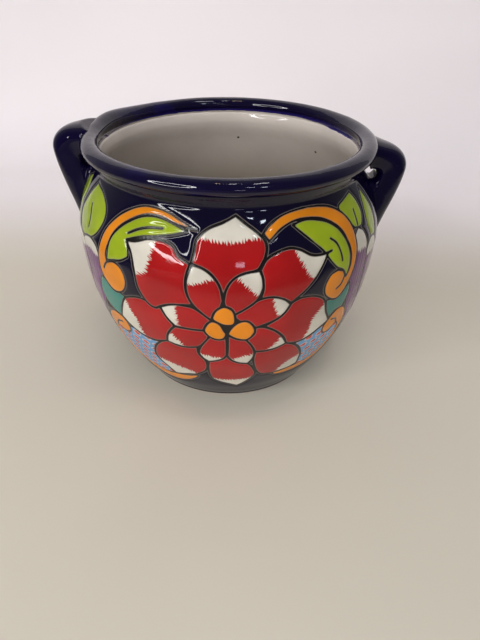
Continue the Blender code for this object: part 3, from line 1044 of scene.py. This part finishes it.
def ear_spokes(raised, hole, hole_half):
    """Spokes of an ear out from its hole: middles, half lengths, directions and half widths."""
    line = ear_line(raised)
    ahead = np.gradient(line, axis=0)
    ahead /= np.hypot(ahead[:, 0], ahead[:, 1])[:, None]
    half_width, half_thick = ear_sizes()
    outer = line + np.stack([-ahead[:, 1], ahead[:, 0]], axis=-1) * half_thick
    closing = hole + EAR_CLOSING_REACH * np.stack([np.cos(EAR_CLOSING), np.sin(EAR_CLOSING)], axis=-1)
    outer = np.vstack([outer, closing])
    half_width = np.vstack([half_width, np.repeat(half_width[-1:], len(closing), axis=0)])
    spoke = outer - hole
    spoke /= np.hypot(spoke[:, 0], spoke[:, 1])[:, None]
    inner = hole + spoke * hole_half
    return (outer + inner) / 2, (outer - inner) / 2, spoke, half_width


def make_ear(name, side, raised, hole, hole_half):
    """Thick ear handle: rounded sections that fan out from a small hole, smeared onto rim and wall."""
    middle, reach, spoke, half_width = ear_spokes(raised, np.array(hole), np.array(hole_half))
    turn = np.arange(EAR_SIDES) * math.tau / EAR_SIDES
    power = 2 / np.where(np.sin(turn) > 0, EAR_SQUARENESS, EAR_HOLE_SQUARENESS)
    wide, thick = (np.sign(wave) * np.abs(wave) ** power for wave in (np.cos(turn), np.sin(turn)))
    outward = np.maximum(thick, 0)
    x = middle[:, :1] + reach[:, :1] * thick
    z = middle[:, 1:] + reach[:, 1:] * thick
    slim = EAR_WIDTH / 2
    half_width = slim + (half_width - slim) * (1 + thick) / 2
    near = np.clip(1 - pot_gap(np.hypot(x, half_width * wide), z) / EAR_FILLET_REACH, 0, 1)
    grow = EAR_FILLET * near**2
    y = (half_width + grow) * wide
    rootward = np.clip(1 - np.arange(len(middle)) / (EAR_STEPS - 1), 0, 1)[:, None]
    smear = EAR_SMEAR * rootward**EAR_SMEAR_POWER * outward
    y = np.where(y > 0, y * (1 + smear), y)
    x += spoke[:, :1] * grow * outward
    z += spoke[:, 1:] * grow * outward
    radius = np.hypot(x, y)
    seat = np.where(z > WALL_TOP, RIM_CREST, wall_radius(np.minimum(z, WALL_TOP)) - WALL / 2)
    held = np.maximum(radius, seat)
    z = np.minimum(z, HEIGHT - EAR_SINK + EAR_RISE * (held - RIM_CREST))
    points = np.stack([side * x * held / radius, y * held / radius, z], axis=-1)
    rows, columns = points.shape[:2]
    faces = grid_faces(rows, columns)[:-columns].tolist()
    faces += [list(range(columns))[::-1], list(range((rows - 1) * columns, rows * columns))]
    if side < 0:
        faces = [face[::-1] for face in faces]
    return add_object(name, points, faces, [cobalt_glaze()])


def dress(piece, node):
    """Let a piece stand for a solid of the frame."""
    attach(piece, "root")
    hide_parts(node)


dress(make_pot(), "pot_body")
dress(make_rim(), "rim_coil")
for ear_name, ear_node, *ear_shape in EARS:
    dress(make_ear(ear_name, *ear_shape), ear_node)


# Stage: depth and height of the backdrop, radius of its bend, half its width,
# how far the floor comes forward, and its hairline gap below the foot
STAGE_DEPTH, STAGE_HEIGHT, STAGE_BEND, STAGE_HALF, STAGE_FRONT = 0.62, 1.2, 0.12, 1.0, -2.0
FLOOR_GAP = 0.0003

# Floor: its roughness and clouds, and the middle of its pale part and where it fades into painted
# shade
FLOOR_ROUGHNESS, FLOOR_TONES = 0.8, (0.98, 1.02)
FLOOR_MIDDLE, FLOOR_FADE = (0.0, 0.25, 0.0), (0.58, 0.72)

# Backdrop: where it turns white, and its soft glow
BACKDROP_START, BACKDROP_GLOW = (0.1, 0.45), 0.17


def make_stage():
    """Plain pale floor that curves up into a white backdrop, with painted shade far from the pot."""
    curve = arc((STAGE_DEPTH - STAGE_BEND, STAGE_BEND), (STAGE_BEND, STAGE_BEND), -90, 0, ARC_POINTS)
    side_line = np.vstack([(STAGE_FRONT, 0.0), curve, (STAGE_DEPTH, STAGE_HEIGHT)]) - (0.0, FLOOR_GAP)
    points = np.array([(x, y, z) for y, z in side_line for x in (-STAGE_HALF, STAGE_HALF)])
    faces = [(2 * i, 2 * i + 1, 2 * i + 3, 2 * i + 2) for i in range(len(side_line) - 1)]
    shader = Shader("pale_floor", FLOOR_ROUGHNESS)
    back = shader.ramp(shader.split(shader.place())[1], *BACKDROP_START)
    # Painted shade on the floor far from the pot, dark for the glaze to reflect
    far_shade = shader.ramp(shader.distance(FLOOR_MIDDLE), *FLOOR_FADE)
    near = shader.mix(far_shade, FLOOR_CREAM, FLOOR_SHADE)
    cloud = shader.ramp(shader.noise(3.0, 3.0), *NOISE_SPAN, *FLOOR_TONES)
    shader.set("Base Color", shader.dim(shader.mix(back, near, FLOOR_WHITE), cloud))
    shader.set("Emission Color", FLOOR_WHITE)
    shader.set("Emission Strength", shader.math("MULTIPLY", back, BACKDROP_GLOW))
    add_object("floor", points, faces, [shader.material])


# Colours of the lights, and the point that they are aimed at
PURE, SOFT, WARM = (1.0, 1.0, 1.0), (1.0, 0.98, 0.97), (1.0, 0.75, 0.45)
COOL, VIOLET = (0.8, 0.9, 1.0), (0.85, 0.8, 1.0)
POT_MIDDLE = (0.0, 0.0, 0.12)

# Soft boxes, which the glaze doesn't reflect: name, place, size, power
SOFT_BOXES = (
    ("soft_front", (0.2, -1.7, 0.85), (1.6, 0.6), 8.6),
    ("soft_top", (0.4, -0.5, 1.9), (1.4, 1.4), 5.0),
)

# Tubes overhead and small lamps, in the same way and with a colour
LAMPS = (
    ("tube_right", (0.45, -0.3, 1.9), (0.30, 0.06), 1.4, PURE),
    ("tube_middle", (0.08, -0.3, 1.9), (0.12, 0.06), 0.7, PURE),
    ("tube_warm", (-0.10, -0.3, 1.9), (0.08, 0.08), 0.5, WARM),
    ("spot_right", (0.64, -1.13, 0.95), (0.10, 0.06), 0.6, COOL),
    ("spot_front", (0.39, -1.15, 1.06), (0.14, 0.03), 0.5, COOL),
    ("spot_low", (0.27, -1.5, 0.27), (0.16, 0.05), 0.22, VIOLET),
)

# Ring lamp at the front left: place and radius, count and thickness of its strips, and power
RING_PLACE, RING_RADIUS = (-0.93, -1.20, 0.68), 0.45
RING_STRIPS, RING_TUBE, RING_POWER = 18, 0.085, 15.5

# Surroundings: their tint, their glow in front and behind, and the span between the two
WORLD_TINT, WORLD_GLOW, WORLD_SPAN = (1.0, 0.98, 0.99), (0.10, 0.32), (-0.25, 0.6)


def area_light(name, place, size, power, colour=PURE, reflected=True):
    """Area light aimed at the pot."""
    data = bpy.data.lights.new(name, "AREA")
    data.shape = "RECTANGLE"
    data.size, data.size_y = size
    data.energy = power
    data.color = colour
    light = bpy.data.objects.new(name, data)
    light.location = place
    light.rotation_euler = (Vector(POT_MIDDLE) - light.location).to_track_quat("-Z", "Y").to_euler()
    light.visible_glossy = reflected
    bpy.context.scene.collection.objects.link(light)
    return light


def ring_lamp():
    """Ring of light strips that faces the pot."""
    centre = Vector(RING_PLACE)
    facing = (Vector(POT_MIDDLE) - centre).to_track_quat("-Z", "Y").to_matrix()
    length = math.tau * RING_RADIUS / RING_STRIPS
    for index in range(RING_STRIPS):
        turn = math.tau * index / RING_STRIPS - math.pi / 2
        spun_facing = facing @ Matrix.Rotation(turn, 3, "Z")
        place = centre + spun_facing @ Vector((0.0, RING_RADIUS, 0.0))
        light = area_light(f"ring_{index:02d}", place, (length, RING_TUBE), RING_POWER / RING_STRIPS)
        light.rotation_euler = spun_facing.to_euler()


def make_light():
    """Soft studio light, with surroundings that are paler behind the pot."""
    world = bpy.data.worlds.new("studio")
    bpy.context.scene.world = world
    world.use_nodes = True
    nodes = Nodes(world.node_tree)
    behind = nodes.split(nodes.place("Generated"))[1]
    background = world.node_tree.nodes["Background"].inputs
    nodes.feed(background["Color"], WORLD_TINT)
    nodes.feed(background["Strength"], nodes.ramp(behind, *WORLD_SPAN, *WORLD_GLOW, "LINEAR"))
    for box in SOFT_BOXES:
        area_light(*box, SOFT, reflected=False)
    for lamp in LAMPS:
        area_light(*lamp)
    ring_lamp()


# Camera: place about the pot's axis, aim and lens, as the photograph was taken
CAMERA_DISTANCE, CAMERA_HEIGHT = 0.45773, 0.35059
CAMERA_AZIMUTH, CAMERA_YAW = math.radians(3.0), math.radians(1.490)
CAMERA_PITCH, CAMERA_ROLL = math.radians(35.431), math.radians(1.068)
CAMERA_LENS, SENSOR, NEAREST = 29.33, 36.0, 0.01


def make_camera():
    """Camera at the photograph's viewing angle."""
    data = bpy.data.cameras.new("camera")
    data.lens = CAMERA_LENS
    data.sensor_width = SENSOR
    data.clip_start = NEAREST
    camera = bpy.data.objects.new("camera", data)
    around = Matrix.Rotation(CAMERA_AZIMUTH, 4, "Z")
    back = Matrix.Translation((0.0, -CAMERA_DISTANCE, CAMERA_HEIGHT))
    turn = Matrix.Rotation(-CAMERA_YAW, 4, "Z")
    tilt = Matrix.Rotation(math.pi / 2 - CAMERA_PITCH, 4, "X")
    camera.matrix_world = around @ back @ turn @ tilt @ Matrix.Rotation(CAMERA_ROLL, 4, "Z")
    bpy.context.scene.collection.objects.link(camera)
    bpy.context.scene.camera = camera


make_stage()
make_light()
make_camera()
bpy.context.scene.view_settings.view_transform = "Standard"
